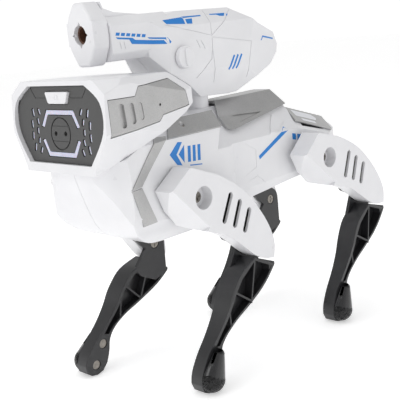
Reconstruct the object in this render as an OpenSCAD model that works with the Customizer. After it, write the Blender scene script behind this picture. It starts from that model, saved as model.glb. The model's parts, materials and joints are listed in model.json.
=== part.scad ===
// Four-legged robot dog toy with a swivelling launcher on its back.
// The dog faces -Y, its left side is +X, and its feet stand on z = 0.

/* [Stance] */
// Distance from the front hips to the rear hips
hip_base = 132; // [131.9:0.1:132.1]
// Height of the hip axes above the floor
hip_z = 131; // [130.9:0.1:131.1]

/* [Leg] */
// Outer face of the thigh shell, from the middle plane
thigh_out = 55.5; // [55.4:0.1:56.5]
// Inner face of the hip end of the thigh
thigh_in = 40.5; // [40.4:0.1:41]
// Wall of the moulded shells
wall = 2; // [1.8:0.1:2.2]
// Radius of the deep hole over the hip screw
hip_hole_r = 7.4; // [7:0.1:7.6]
// Radius of the hip shaft
shaft_r = 3; // [2.5:0.1:3.2]
// Radius of the knee screw's shank
knee_r = 2; // [1.8:0.1:2.2]
// Running clearance round shafts and screws
fit = 0.05; // [0.02:0.01:0.08]

/* [Head] */
// Widest half width of the head shell
head_half = 47.5; // [47:0.1:48]
// Thickness of the grey face plate
face_t = 2.5; // [2:0.1:3]

/* [Launcher] */
// Height of the barrel's centre line
barrel_z = 237; // [236.5:0.1:237.5]
// Radius of the swivel post
post_r = 8; // [7:0.1:8]

/* [Hidden] */

eps = 0.02;
gap = 0.3;
hip_y = hip_base / 2;
// The knee pivot, seen from the hip on a leg that hangs at angle 0
knee = [48, -40];
// Where each leg stands: side, hip y, hip angle, knee angle
leg_fl = [1, -hip_y, 0, 0];
leg_fr = [-1, -hip_y, -15, 4.2];
leg_rl = [1, hip_y, 6, -0.05];
leg_rr = [-1, hip_y, -11.5, 2.72];

// Outlines in the leg's plane: [y, z] from the hip
thigh_outline = [
    [-9, 21], [-26.5, 9], [-21, -5], [-12, -16.5], [3, -23], [20, -30.5], [43, -49.5],
    [61.3, -56], [62.8, -44], [55, -26], [38.5, -5], [18, 9.8]
];
thigh_pocket = [
    [-8, 17.5], [-21.5, 8], [-8, -8.5], [1.5, -16], [19, -26], [42, -46], [58.5, -53],
    [59.5, -44], [52.5, -28.5], [36.5, -8], [16.5, 6]
];
shin_front = [
    [43, -51.2], [27, -59.5], [18, -71], [12, -83], [4, -95], [-6, -107], [-12, -117],
    [-13.5, -124]
];
shin_sole = [[-11.5, -129], [-7.5, -131], [-2.5, -131], [2.5, -128.6]];
shin_rear = [
    [6, -123], [7.5, -115], [8, -106], [12.5, -98], [22, -90], [35, -82.5], [52, -71.5],
    [62.5, -61.6]
];

// ---------------------------------------------------------------- helpers
// Extrudes a [y, z] outline along X from x0 to x1
module prism_x(pts, x0, x1) {
    translate([x0, 0, 0])
        rotate([90, 0, 90])
            linear_extrude(x1 - x0)
                polygon(pts);
}

// Extrudes an [x, z] outline along Y from y0 to y1
module prism_y(pts, y0, y1) {
    translate([0, y1, 0])
        rotate([90, 0, 0])
            linear_extrude(y1 - y0)
                polygon(pts);
}

// Extrudes an [x, y] outline along Z from z0 to z1
module prism_z(pts, z0, z1) {
    translate([0, 0, z0])
        linear_extrude(z1 - z0)
            polygon(pts);
}

// A cylinder along X, from x0 to x1, at [y, z]
module rod_x(r, x0, x1, at = [0, 0]) {
    translate([x0, at[0], at[1]])
        rotate([0, 90, 0])
            cylinder(r = r, h = x1 - x0, $fn = 48);
}

// A cylinder along Y, from y0 to y1, at [x, z]
module rod_y(r, y0, y1, at = [0, 0]) {
    translate([at[0], y0, at[1]])
        rotate([-90, 0, 0])
            cylinder(r = r, h = y1 - y0, $fn = 48);
}

// A cylinder along Z, from z0 to z1, at [x, y]
module rod_z(r, z0, z1, at = [0, 0]) {
    translate([at[0], at[1], z0])
        cylinder(r = r, h = z1 - z0, $fn = 48);
}

// A screw along X: shank from x0 to x1 and a head outside x1
module screw_x(x0, x1, r, head_r, head_t, at = [0, 0]) {
    rod_x(r, x0, x1 + eps, at);
    difference() {
        rod_x(head_r, x1, x1 + head_t, at);
        for (turn = [0, 90])
            translate([x1 + head_t, at[0], at[1]])
                rotate([turn, 0, 0])
                    cube([head_t, 0.3 * head_r, 1.4 * head_r], center = true);
    }
}

// Outline of a slot with round ends from a to b, each end in steps of 22.5 degrees
function slot_outline(a, b, r) =
    let (turn = atan2(b[1] - a[1], b[0] - a[0]))
        concat(
            [for (v = [90:22.5:270]) a + r * [cos(v + turn), sin(v + turn)]],
            [for (v = [-90:22.5:90]) b + r * [cos(v + turn), sin(v + turn)]]
        );

// A rounded slot through a wall along X, between two points [y, z]
module slot_x(a, b, r, x0, x1) {
    prism_x(slot_outline(a, b, r), x0, x1);
}

// Everything on the far side of a plane through three points, which run
// anticlockwise seen from that side; t moves the plane back into the part
module beyond(p, q, r, t = 0) {
    n = cross(q - p, r - p);
    unit = n / norm(n);
    translate(p - t * unit)
        rotate(a = acos(unit[2]), v = cross([0, 0, 1], unit))
            translate([-100, -100, 0])
                cube([200, 200, 60]);
}

// A flat bar along X's plane, from point a to point b, w thick
module bar_x(a, b, w, x0, x1) {
    d = b - a;
    translate([x0, a[0], a[1]])
        rotate([atan2(d[1], d[0]), 0, 0])
            translate([0, 0, -w / 2])
                cube([x1 - x0, norm(d), w]);
}

// The left half keeps x > 0, the right half is its mirror image
module half(side) {
    if (side > 0)
        children();
    else
        mirror([1, 0, 0])
            children();
}

// ------------------------------------------------------------- body shells
seam_top = -25;
seam_low = -45;
chest_profile = [
    [-122, 159], [-120, 147], [-110, 119], [-97, 107.5], [-80, 103.5], [seam_low, 102.5],
    [seam_top, 178.6], [-74, 178.6]
];
chest_plan = [
    [0, -122], [14, -121.5], [31, -117], [41, -110.5], [39.4, -95], [38, -60], [38, 0], [0, 0]
];
chest_section = [
    [0, 181], [27, 181], [39, 168.5], [42, 145], [39, 120], [27, 102], [0, 102]
];
rear_profile = [
    [seam_low + gap, 103.4], [-10, 112.5], [52, 118], [98, 121.5], [112, 134], [112, 147],
    [107, 152.6], [61, 167], [59, 178.6], [seam_top + gap, 178.6]
];
rear_plan = [
    [0, -60], [37.5, -60], [37.5, -22], [35, -14], [36, 60], [34, 96], [26, 112.5], [0, 112.5]
];
rear_section = [
    [0, 181], [7, 179.4], [20, 170], [30.6, 158.4], [36.2, 154], [37, 126], [28, 103], [0, 103]
];
rump_tilt = -17.4;
rump_at = [0, 61, 167];
rump_band = [[0, 1.8], [20, 1.8], [32, -8], [31, -9.4], [19.4, 0], [0, 0]];

// Half of a body form: three prisms crossed, on the left side
module crossed(profile, plan, section) {
    intersection() {
        prism_x(profile, gap / 2, 50);
        prism_z(plan, 90, 200);
        prism_y(section, -140, 130);
    }
}

// A half shell: the form less a smaller copy of itself about a middle point
module half_shell(profile, plan, section, mid, k) {
    difference() {
        crossed(profile, plan, section);
        translate(mid * (1 - k))
            scale(k)
                translate([-1, 0, 0])
                    crossed(profile, plan, section);
    }
}

module hip_bushes(y) {
    rod_x(shaft_r + 3, 30, 38, [y, hip_z]);
}

module chest_shell(side) {
    half(side)
        difference() {
            union() {
                half_shell(chest_profile, chest_plan, chest_section, [0, -75, 140], 0.945);
                hip_bushes(-hip_y);
            }
            rod_x(shaft_r + fit, 20, 60, [-hip_y, hip_z]);
            rod_z(screw_r, 160, 190, shoulder_screw_at);
        }
}

module rear_shell(side) {
    half(side)
        difference() {
            union() {
                half_shell(rear_profile, rear_plan, rear_section, [0, 25, 143], 0.945);
                hip_bushes(hip_y);
            }
            rod_x(shaft_r + fit, 20, 60, [hip_y, hip_z]);
            rod_z(post_r + fit, 150, 190, post_at);
            // Seat of the rump plate
            translate(rump_at)
                rotate([rump_tilt, 0, 0])
                    prism_y([[-1, 20], [60, 20], [60, -34], [19.4, 0], [-1, 0]], 0, 60);
            // Opening under the battery door
            translate([-1, -4, 100])
                cube([19, 50, 20]);
            // Hole of the rump cap
            translate([-1, cap_y - 0.1, 158])
                cube([9.1, 6.2, 12]);
        }
}

// The silver chevron along the front edge of the shoulder
strip_top = [[-85, 172], [-76, 171], [-102.5, 145], [-111, 144.6]];
strip_low = [[-111, 143.8], [-102.5, 144.2], [-92.5, 120.5], [-104, 120]];
module chest_strip(side) {
    half(side)
        color("silver")
            difference() {
                intersection() {
                    union() {
                        prism_x(strip_top, 30, 50);
                        prism_x(strip_low, 30, 50);
                    }
                    translate([0.8, -0.4, 0])
                        prism_z(chest_plan, 90, 200);
                    translate([0.8, 0, 0.3])
                        prism_y(chest_section, -140, 130);
                }
                crossed(chest_profile, chest_plan, chest_section);
            }
}

shoulder_screw_at = [34, -58];
screw_r = 1.5;
// Slope of the bevel between the back and the flank of the chest
bevel_a = chest_section[1];
bevel_b = chest_section[2];
bevel_tilt = atan2(bevel_a[1] - bevel_b[1], bevel_b[0] - bevel_a[0]);
// Seen square to the bevel, from its upper edge outwards
shoulder_plan = [[3, -66.5], [17, -76], [17, -27.5], [3, -26]];
// The silver plate on the bevel above each front hip
module shoulder_plate(side) {
    half(side)
        color("silver")
            difference() {
                translate([bevel_a[0], 0, bevel_a[1]])
                    rotate([0, bevel_tilt, 0])
                        prism_z(shoulder_plan, 0, 1.4);
                rod_z(screw_r + 0.1, 160, 190, shoulder_screw_at);
            }
}

module shoulder_screws() {
    color("dimgray")
        for (side = [1, -1])
            half(side)
                rod_z(screw_r, 171, 174.6, shoulder_screw_at);
}

saddle_band = [
    [0, 182], [8, 182], [21.5, 172], [33, 160], [31.4, 158.9], [20.4, 170.4], [7.2, 179.8],
    [0, 179.8]
];
saddle_side = [[-14, 184], [60.6, 184], [60.6, 171.2], [-4.5, 163.2], [-14, 164.6]];
saddle_plan = [
    [-8, 0], [8, 0], [20, -10], [34, -10], [34, 60.6], [-34, 60.6], [-34, -10], [-20, -10]
];
// A shallow triangle pressed into each flank of the saddle
saddle_recess = [[2, 171.6], [31, 169.8], [5.2, 166.5]];
module saddle_cover() {
    color("silver")
        difference() {
            intersection() {
                union() {
                    prism_y(saddle_band, -15, 62);
                    mirror([1, 0, 0])
                        prism_y(saddle_band, -15, 62);
                }
                prism_x(saddle_side, -40, 40);
                prism_z(saddle_plan, 150, 190);
            }
            for (side = [1, -1])
                half(side)
                    difference() {
                        prism_x(saddle_recess, 15, 40);
                        translate([-0.45, 0, -0.45])
                            prism_y(saddle_band, -15, 62);
                    }
        }
}

module rump_plate() {
    color("silver")
        translate(rump_at)
            rotate([rump_tilt, 0, 0])
                difference() {
                    union() {
                        prism_y(rump_band, 1, 47);
                        mirror([1, 0, 0])
                            prism_y(rump_band, 1, 47);
                    }
                    translate([-8.4, 0, -1])
                        cube([16.8, 9, 4]);
                }
}

cap_y = 61.4;
module rump_cap() {
    color("black")
        translate([0, cap_y, 160])
            difference() {
                union() {
                    translate([-8, 0, 0])
                        cube([16, 6, 8]);
                    rod_x(4, -8, 8, [4.2, 8]);
                }
                rod_x(1.5, -3, 3, [4.2, 10.5]);
            }
}

module belly_door() {
    color("white")
        translate([-17.7, -3.7, 113.3])
            rotate([5.07, 0, 0])
                difference() {
                    cube([35.4, 49, 1.8]);
                    for (x = [6, 29.4])
                        rod_z(1.3, -1, 3, [x, 45]);
                }
}

module belly_screws() {
    color("dimgray")
        translate([-17.7, -3.7, 113.3])
            rotate([5.07, 0, 0])
                for (x = [6, 29.4])
                    rod_z(1.2, 0.2, 2.4, [x, 45]);
}

module battery_pack() {
    color("royalblue")
        for (x = [-14.5, 0, 14.5])
            rod_y(7, -2, 48, [x, 127]);
}

module main_board() {
    color("darkgreen")
        translate([-22, -2, 142])
            cube([44, 50, 1.6]);
    color("black")
        for (x = [-14, 2])
            translate([x, 8, 143.6])
                cube([9, 9, 1.6]);
}

// A closed gearbox, half_h high each way, with its motor on top
module gearbox(y, half_h) {
    color("dimgray")
        difference() {
            translate([-22, y - 14, hip_z - half_h])
                cube([44, 28, 2 * half_h]);
            rod_x(shaft_r + fit, -23, -12, [y, hip_z]);
            rod_x(shaft_r + fit, 12, 23, [y, hip_z]);
        }
    color("silver")
        rod_z(8, hip_z + half_h, hip_z + half_h + 13, [0, y - 2]);
}

module gearbox_front() {
    gearbox(-hip_y, 13);
}

module gearbox_rear() {
    gearbox(hip_y, 9.2);
}

// -------------------------------------------------------------------- head
face_at = [0, -126.7, 185.5];
face_tilt = -4.2;
face_outline = [[28.7, 23.7], [42.4, 13.5], [44, -3.7], [31.3, -23.1]];

// A left-right outline from its left half, top first
function whole(pts) = concat(
    pts,
    [for (i = [len(pts) - 1:-1:0]) [-pts[i][0], pts[i][1]]]
);

module face_frame() {
    translate(face_at)
        rotate([face_tilt, 0, 0])
            children();
}

neck_slope = 0.403;
function neck_z(y) = 159.3 + neck_slope * (y + 122);

function head_profile(t) = [
    [-131.6, 156.6 + t], [-126.9, 212.4 - t], [-64, 209.5 - t], [-50 - 2 * t, 198.5 - t],
    [-50 - 2 * t, neck_z(-50) + 1.2 * t], [-122, neck_z(-122) + 1.2 * t]
];
function head_plan(t) = [
    [head_half - t, -140], [head_half - t, -110], [42 - t, -60], [36 - t, -45]
];
function head_section(t) = [
    [44 - t, 213], [head_half - t, 208], [head_half - t, 181], [35.5 - t, 160], [33, 150]
];

// The head's outer form, drawn in by t
module head_form(t) {
    difference() {
        intersection() {
            prism_x(head_profile(t), -60, 60);
            prism_z(whole(head_plan(t)), 150, 220);
            prism_y(whole(head_section(t)), -140, -45);
        }
        for (side = [1, -1])
            half(side) {
                // Chamfer from the rim back to the shoulder of the head
                beyond([31, -129, 212.2], [45.8, -129.9, 200.6], [46.5, -110, 210], t);
                // Bevel that widens towards the rear
                beyond([31, -62, 209.5], [46, -110, 210.5], [42, -61, 197.5], t);
            }
    }
}

module head_shell() {
    color("white")
        difference() {
            head_form(0);
            translate([0, 6.4, 0])
                head_form(wall);
            face_frame()
                prism_y(whole([for (p = face_outline) p * 1.006]), -5, 12);
            for (side = [1, -1])
                half(side)
                    panel_block(0);
        }
}

// The silver side panels sit in shallow seats on the head
panel_side = [
    [-126, 200.8], [-105, 200.2], [-101.5, 205.6], [-68, 206.2], [-59, 198.4],
    [-55.4, 187.8], [-82, 185.4], [-85.5, 182], [-126, 178.6]
];
module panel_block(t) {
    difference() {
        prism_x(panel_side, 30, 60);
        head_form(1 - t);
    }
}

module head_panel(side) {
    half(side)
        color("silver")
            difference() {
                intersection() {
                    head_form(0);
                    prism_x(panel_side, 30, 60);
                }
                head_form(0.96);
                for (y = [-116, -108.2, -101.2])
                    slot_x([y - 0.4, 195.6 - (y + 116) * 0.08], [y + 0.4, 184.4 + (y + 116) * 0.17],
                        1.4, 30, 60);
            }
}

// One column of small slots curving down each side of the face
function stud_x(row, n, x) = x + 3.2 * cos(180 * (row - (n - 1) / 2) / n);
outer_rows = 4;
inner_rows = 5;
module stud_columns(r, y0, y1) {
    for (side = [1, -1])
        half(side) {
            for (row = [0:outer_rows - 1])
                translate([stud_x(row, outer_rows, 26.5), 0, 7.5 - 7.2 * row])
                    rod_slot(r, y0, y1, 3.4);
            for (row = [0:inner_rows - 1])
                translate([stud_x(row, inner_rows, 20.5), 0, 8.2 - 6 * row])
                    rod_slot(r, y0, y1, 2.4);
        }
}

// A short upright slot along Y
module rod_slot(r, y0, y1, h) {
    for (z = [-h / 2, h / 2])
        rod_y(r, y0, y1, [0, z]);
    translate([-r, y0, -h / 2])
        cube([2 * r, y1 - y0, h]);
}

// The two bracket-shaped light bars, an upper and a lower
bar_outline = [[11, 11.6], [16.5, 2.6], [14.6, 1.8], [9.6, 9], [-9.6, 9], [-14.6, 1.8],
    [-16.5, 2.6], [-11, 11.6]];
bar_mid = -5;
module bars(y0, y1) {
    for (turn = [0, 180])
        translate([0, 0, bar_mid])
            rotate([0, turn, 0])
                prism_y(bar_outline, y0, y1);
}

module face_plate() {
    color("dimgray")
        face_frame()
            difference() {
                prism_y(whole(face_outline), 0, face_t);
                stud_columns(0.8, -1, 5);
                bars(-1, 5);
                prism_y(button_hole, -1, 5);
                for (x = [-5, 5])
                    rod_y(1.2, -1, 1.2, [x, bar_mid]);
            }
}

module light_bars() {
    color("lavender")
        face_frame()
            bars(0.5, 4);
}

module light_studs() {
    color("lavender")
        face_frame()
            stud_columns(0.7, 0.6, 4);
}

button_hole = [[-12.2, 20.6], [12.2, 20.6], [9, 12.8], [-9, 12.8]];
button_cap = [[-11.8, 20.3], [11.8, 20.3], [8.8, 13.1], [-8.8, 13.1]];
button_travel = 1.2;
module power_button() {
    color("white")
        face_frame() {
            prism_y(button_cap, -1.8, 4);
            translate([-13.5, 4, 11])
                cube([27, 1.2, 11]);
        }
}

module speaker() {
    color("black")
        face_frame()
            difference() {
                union() {
                    rod_y(14, 7, 10, [0, bar_mid]);
                    rod_y(8, 10, 16, [0, bar_mid]);
                }
                rod_y(11.5, 6, 8, [0, bar_mid]);
            }
}

// ---------------------------------------------------------------- launcher
post_at = [0, -9];
launcher_profile = [
    [-60, 219], [-49, 207], [-30, 197], [-17, 187.4], [12, 185.6], [20, 186], [36, 193],
    [58, 201], [69, 209], [71, 215], [66, 224], [44, 232], [27, 241], [20, 245], [-30, 246],
    [-60, 240]
];
launcher_section = [
    [0, 248], [8, 247], [18, 236], [20, 222], [19, 205], [11, 184], [0, 184]
];
launcher_plan = [
    [0, -61], [12, -61], [20, -47], [20, 30], [10, 72], [0, 72]
];
barrel_section = [[0, 13.5], [9, 13.5], [14, 8], [14, -9], [9, -14], [0, -14]];
barrel_back = -40;
barrel_front = -90;
tube_r = 6;

module launcher_form() {
    intersection() {
        prism_x(launcher_profile, 0.1, 40);
        prism_z(launcher_plan, 180, 260);
        prism_y(launcher_section, -70, 80);
    }
    translate([0.1, 0, barrel_z - 4])
        prism_y(barrel_section, barrel_front, barrel_back);
}

module launcher_shell(side) {
    half(side)
        color("white")
            difference() {
                launcher_form();
                launcher_hollow();
                rod_y(tube_r, -100, -40, [0, barrel_z]);
                rod_z(post_r, 180, 192, post_at);
                if (side > 0)
                    rod_x(knob_shaft_r + fit, 10, 30, knob_at);
            }
}

module launcher_hollow() {
    translate([0, 5, 215] * 0.12)
        scale(0.88)
            intersection() {
                prism_x(launcher_profile, -1, 40);
                prism_z(launcher_plan, 180, 260);
                prism_y(launcher_section, -70, 80);
            }
}

muzzle_outline = [
    [4.5, 256.5], [10, 249.5], [12.6, 244], [13, 236], [12.4, 229], [8.5, 222], [5.5, 217.5]
];
muzzle_front = -103;
module muzzle_cap() {
    color("white")
        difference() {
            prism_y(whole(muzzle_outline), muzzle_front, barrel_front);
            rod_y(tube_r, muzzle_front - 1, barrel_front + 1, [0, barrel_z]);
        }
}

module launch_tube() {
    color("sienna")
        difference() {
            rod_y(tube_r, muzzle_front + 3, -42, [0, barrel_z]);
            rod_y(tube_r - 1.4, muzzle_front - 1, -50, [0, barrel_z]);
        }
}

knob_at = [-37, 216];
knob_shaft_r = 3;
knob_r = 7.2;
module side_knob() {
    color("white") {
        rod_x(knob_r, 20.3, 23.5, knob_at);
        rod_x(knob_shaft_r, 15, 20.5, knob_at);
        translate([23.5, knob_at[0] - 1.2, knob_at[1] - 5.5])
            cube([1.2, 2.4, 11]);
    }
}

module turret_post() {
    color("white")
        difference() {
            union() {
                rod_z(post_r, 168, 192, post_at);
                rod_z(post_r + 3, 165, 168, post_at);
            }
            rod_z(3, 160, 195, post_at);
        }
}

// --------------------------------------------------------------------- legs
// Places a leg part: children lie in the hip's own frame at hip angle 0
module on_thigh(leg) {
    half(leg[0])
        translate([0, leg[1], hip_z])
            rotate([leg[2], 0, 0])
                children();
}

module on_shin(leg) {
    on_thigh(leg)
        translate([0, knee[0], knee[1]])
            rotate([leg[3], 0, 0])
                translate([0, -knee[0], -knee[1]])
                    children();
}

knee_in = 42.3;
draft_wedge = [[58, 0.6], [58, -25], [38, -25], [38, -10.5], [thigh_out, 0]];
module thigh_form() {
    difference() {
        union() {
            prism_x(thigh_outline, knee_in, thigh_out);
            prism_x([for (i = [0, 1, 2, 3, 4, 11]) thigh_outline[i]], thigh_in, knee_in + 1);
        }
        // The lower front wall slopes in towards the outer face
        translate([0, -25, 9.4])
            rotate([-46.5, 0, 0])
                prism_y(draft_wedge, -20, 40);
    }
}

slots = [
    [[24, -3.8], [16.3, -18.7]], [[32, -10.2], [25.6, -23.8]], [[40.2, -17.7], [34.7, -29.5]]
];
boss_out = thigh_out - wall;
module thigh_shell(leg) {
    on_thigh(leg)
        color("white")
            difference() {
                thigh_form();
                difference() {
                    prism_x(thigh_pocket, thigh_in - 1, boss_out);
                    rod_x(hip_hole_r + wall, thigh_in + 2, thigh_out, [0, 0]);
                    rod_x(4.6, knee_in + 0.2, thigh_out, knee);
                }
                rod_x(hip_hole_r, thigh_in + 7, thigh_out + 1, [0, 0]);
                rod_x(shaft_r, thigh_in - 1, thigh_in + 8, [0, 0]);
                rod_x(knee_r + fit, thigh_in - 1, boss_out, knee);
                for (s = slots)
                    slot_x(s[0], s[1], 1.9, boss_out - 1, thigh_out + 1);
            }
}

plate_outline = [
    [-8, 17.3], [-21.3, 8], [-8, -8.3], [1.5, -15.8], [17, -24.4], [16, 6]
];
module thigh_plate(leg) {
    on_thigh(leg)
        color("white")
            difference() {
                prism_x(plate_outline, thigh_in, thigh_in + 1.8);
                rod_x(shaft_r, thigh_in - 1, thigh_in + 3, [0, 0]);
            }
}

module hip_shaft(leg) {
    on_thigh(leg)
        color("gray")
            difference() {
                rod_x(shaft_r, 13, thigh_in + 7, [0, 0]);
                rod_x(1.2, thigh_in - 4, thigh_in + 8, [0, 0]);
            }
}

module hip_screw(leg) {
    on_thigh(leg)
        color("silver")
            screw_x(thigh_in - 3, thigh_in + 7, 1.2, 3.6, 1.6);
}

shin_in = 39;
shin_out = 54.5;
rib = 1.3;

// The pocket between the shin's front and rear edges
shin_pocket = [
    [28.5, -62.5], [20, -73], [14.4, -84.5], [7, -95], [1, -104], [5.8, -104.6],
    [10.6, -97.2], [20.6, -88.8], [33.6, -81], [50.8, -69.8], [59, -61.6], [42.6, -53.4]
];
// The boot takes the outer side of the foot
boot_block = [[-20, -104], [14, -104], [14, -132], [-20, -132]];
boot_in = 49.5;
// Ribs across the pocket: ends of each rib
ribs = [[[43, -53], [36, -81]], [[22, -70], [36, -80]], [[17, -76], [17, -92]]];

lever_end = knee + [-15, 8];
cheek_web = [
    [36, -26.1], [51.6, -31.2], [57.5, -40], [61, -62.5], [50, -68], [36, -64], [30, -59],
    [39.2, -43.6], [29, -37]
];
module shin(leg) {
    on_shin(leg)
        color("dimgray")
            difference() {
                union() {
                    difference() {
                        prism_x(concat(shin_front, shin_sole,
                            shin_rear), shin_in, shin_out);
                        prism_x(boot_block, boot_in, shin_out + 1);
                        prism_x(shin_pocket, 47.4, shin_out + 1);
                        prism_x(shin_pocket, shin_in - 1, 46);
                    }
                    for (r = ribs)
                        bar_x(r[0], r[1], rib, shin_in + 0.3, shin_out - 0.4);
                    // Cheek on the inner side, up to the knee screw
                    rod_x(9.5, shin_in, shin_in + 2.6, knee);
                    rod_x(6.5, shin_in, shin_in + 2.6, lever_end);
                    prism_x(cheek_web, shin_in, shin_in + 2.6);
                }
                rod_x(knee_r, shin_in - 1, shin_in + 4, knee);
                rod_x(4.2, shin_in - 1, shin_in + 1, knee);
                for (at = boot_screw_at)
                    rod_x(3.4, shin_in - 1, shin_in + 2, at);
            }
}

boot_screw_at = [[1.5, -109], [-4, -123.5]];
module boot(leg) {
    on_shin(leg)
        color("black")
            intersection() {
                hull() {
                    translate([50, -4.6, -121.8])
                        sphere(r = 9, $fn = 32);
                    translate([51, 2.4, -106.8])
                        sphere(r = 4.4, $fn = 24);
                }
                prism_x([[-14, -104], [14, -104], [14, -131], [-14, -131]], boot_in, 70);
            }
}

module leg_screws(leg) {
    on_shin(leg)
        color("silver") {
            mirror([1, 0, 0])
                screw_x(-boss_out + 0.4, -shin_in - 0.9, knee_r, 3.6, 0.8, knee);
            for (at = boot_screw_at)
                rod_x(3.2, shin_in + 0.6, shin_in + 2, at);
        }
}

chest_shell(1);  // chest_shell_left
chest_shell(-1);  // chest_shell_right
rear_shell(1);  // rear_shell_left
rear_shell(-1);  // rear_shell_right
chest_strip(1);  // chest_strip_left
chest_strip(-1);  // chest_strip_right
shoulder_plate(1);  // shoulder_plate_left
shoulder_plate(-1);  // shoulder_plate_right
shoulder_screws();
saddle_cover();
rump_plate();
rump_cap();
belly_door();
belly_screws();
battery_pack();
main_board();
gearbox_front();
gearbox_rear();
head_shell();
head_panel(1);  // head_panel_left
head_panel(-1);  // head_panel_right
face_plate();
light_bars();
light_studs();
power_button();
speaker();
launcher_shell(1);  // launcher_shell_left
launcher_shell(-1);  // launcher_shell_right
muzzle_cap();
launch_tube();
side_knob();
turret_post();
thigh_shell(leg_fl);  // thigh_shell_fl
thigh_plate(leg_fl);  // thigh_plate_fl
hip_shaft(leg_fl);  // hip_shaft_fl
hip_screw(leg_fl);  // hip_screw_fl
shin(leg_fl);  // shin_fl
boot(leg_fl);  // boot_fl
leg_screws(leg_fl);  // leg_screws_fl
thigh_shell(leg_fr);  // thigh_shell_fr
thigh_plate(leg_fr);  // thigh_plate_fr
hip_shaft(leg_fr);  // hip_shaft_fr
hip_screw(leg_fr);  // hip_screw_fr
shin(leg_fr);  // shin_fr
boot(leg_fr);  // boot_fr
leg_screws(leg_fr);  // leg_screws_fr
thigh_shell(leg_rl);  // thigh_shell_rl
thigh_plate(leg_rl);  // thigh_plate_rl
hip_shaft(leg_rl);  // hip_shaft_rl
hip_screw(leg_rl);  // hip_screw_rl
shin(leg_rl);  // shin_rl
boot(leg_rl);  // boot_rl
leg_screws(leg_rl);  // leg_screws_rl
thigh_shell(leg_rr);  // thigh_shell_rr
thigh_plate(leg_rr);  // thigh_plate_rr
hip_shaft(leg_rr);  // hip_shaft_rr
hip_screw(leg_rr);  // hip_screw_rr
shin(leg_rr);  // shin_rr
boot(leg_rr);  // boot_rr
leg_screws(leg_rr);  // leg_screws_rr
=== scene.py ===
import json
import math

import bmesh
import bpy
from mathutils import Matrix, Vector
from mathutils.bvhtree import BVHTree


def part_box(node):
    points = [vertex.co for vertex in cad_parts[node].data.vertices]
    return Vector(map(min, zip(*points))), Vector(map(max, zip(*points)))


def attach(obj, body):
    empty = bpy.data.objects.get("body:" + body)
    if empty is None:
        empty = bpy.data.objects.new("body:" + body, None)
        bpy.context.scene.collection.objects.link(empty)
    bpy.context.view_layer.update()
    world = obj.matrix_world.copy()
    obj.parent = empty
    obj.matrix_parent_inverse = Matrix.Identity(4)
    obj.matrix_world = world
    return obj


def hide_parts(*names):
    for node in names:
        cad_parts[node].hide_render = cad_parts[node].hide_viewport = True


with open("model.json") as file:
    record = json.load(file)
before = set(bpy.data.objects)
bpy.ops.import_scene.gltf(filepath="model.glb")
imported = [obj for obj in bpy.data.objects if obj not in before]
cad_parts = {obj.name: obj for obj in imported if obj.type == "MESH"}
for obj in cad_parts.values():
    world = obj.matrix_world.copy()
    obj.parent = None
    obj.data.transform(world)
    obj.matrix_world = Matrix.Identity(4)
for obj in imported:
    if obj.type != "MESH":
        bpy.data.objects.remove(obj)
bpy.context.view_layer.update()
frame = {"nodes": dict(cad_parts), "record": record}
cadNodes = frame["nodes"]
mm = 0.001
print("frame loaded")


# --- colours and nodes
def linear(code):
    def one(pair):
        value = int(pair, 16) / 255
        return value / 12.92 if value <= 0.04045 else ((value + 0.055) / 1.055) ** 2.4
    return tuple(one(code[i:i + 2]) for i in (0, 2, 4)) + (1,)


def addNode(tree, kind, settings=None, links=None):
    node = tree.nodes.new(kind)
    for name, value in (settings or {}).items():
        if isinstance(name, str) and hasattr(node, name):
            setattr(node, name, value)
        else:
            node.inputs[name].default_value = value
    for name, source in (links or {}).items():
        tree.links.new(source, node.inputs[name])
    return node


def newMaterial(name, fixed):
    material = bpy.data.materials.new(name)
    material.use_nodes = True
    shader = material.node_tree.nodes["Principled BSDF"]
    for socket, value in fixed.items():
        shader.inputs[socket].default_value = value
    place = addNode(material.node_tree, "ShaderNodeTexCoord").outputs["Object"]
    return material, shader, place


# A moulded or sprayed surface: slow drift of colour, uneven gloss and a fine grain
def surface(material, shader, place, look):
    tree = material.node_tree
    drift = addNode(tree, "ShaderNodeTexNoise",
                    {"Scale": 1 / (look["patch"] * mm), "Detail": 3.0}, {"Vector": place})
    tint = addNode(tree, "ShaderNodeMix", {"data_type": "RGBA", 6: linear(look["dark"]),
                                           7: linear(look["light"])},
                   {0: drift.outputs["Fac"]})
    tree.links.new(tint.outputs[2], shader.inputs["Base Color"])
    sheen = addNode(tree, "ShaderNodeMapRange",
                    {"To Min": look["gloss"][0], "To Max": look["gloss"][1]},
                    {"Value": drift.outputs["Fac"]})
    tree.links.new(sheen.outputs["Result"], shader.inputs["Roughness"])
    grain = addNode(tree, "ShaderNodeTexNoise",
                    {"Scale": 1 / (look["grain"] * mm), "Detail": 2.0}, {"Vector": place})
    bump = addNode(tree, "ShaderNodeBump",
                   {"Strength": look["relief"], "Distance": 0.05 * mm},
                   {"Height": grain.outputs["Fac"]})
    tree.links.new(bump.outputs["Normal"], shader.inputs["Normal"])
    return tint


# White ABS, injection moulded and polished: bright, with a soft broad highlight
def glossAbs():
    material, shader, place = newMaterial("white moulded ABS", {"IOR": 1.53})
    surface(material, shader, place, {
        "dark": "DFDFE2", "light": "EAEAEC", "patch": 18, "gloss": (0.24, 0.36),
        "grain": 0.6, "relief": 0.12})
    return material


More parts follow.
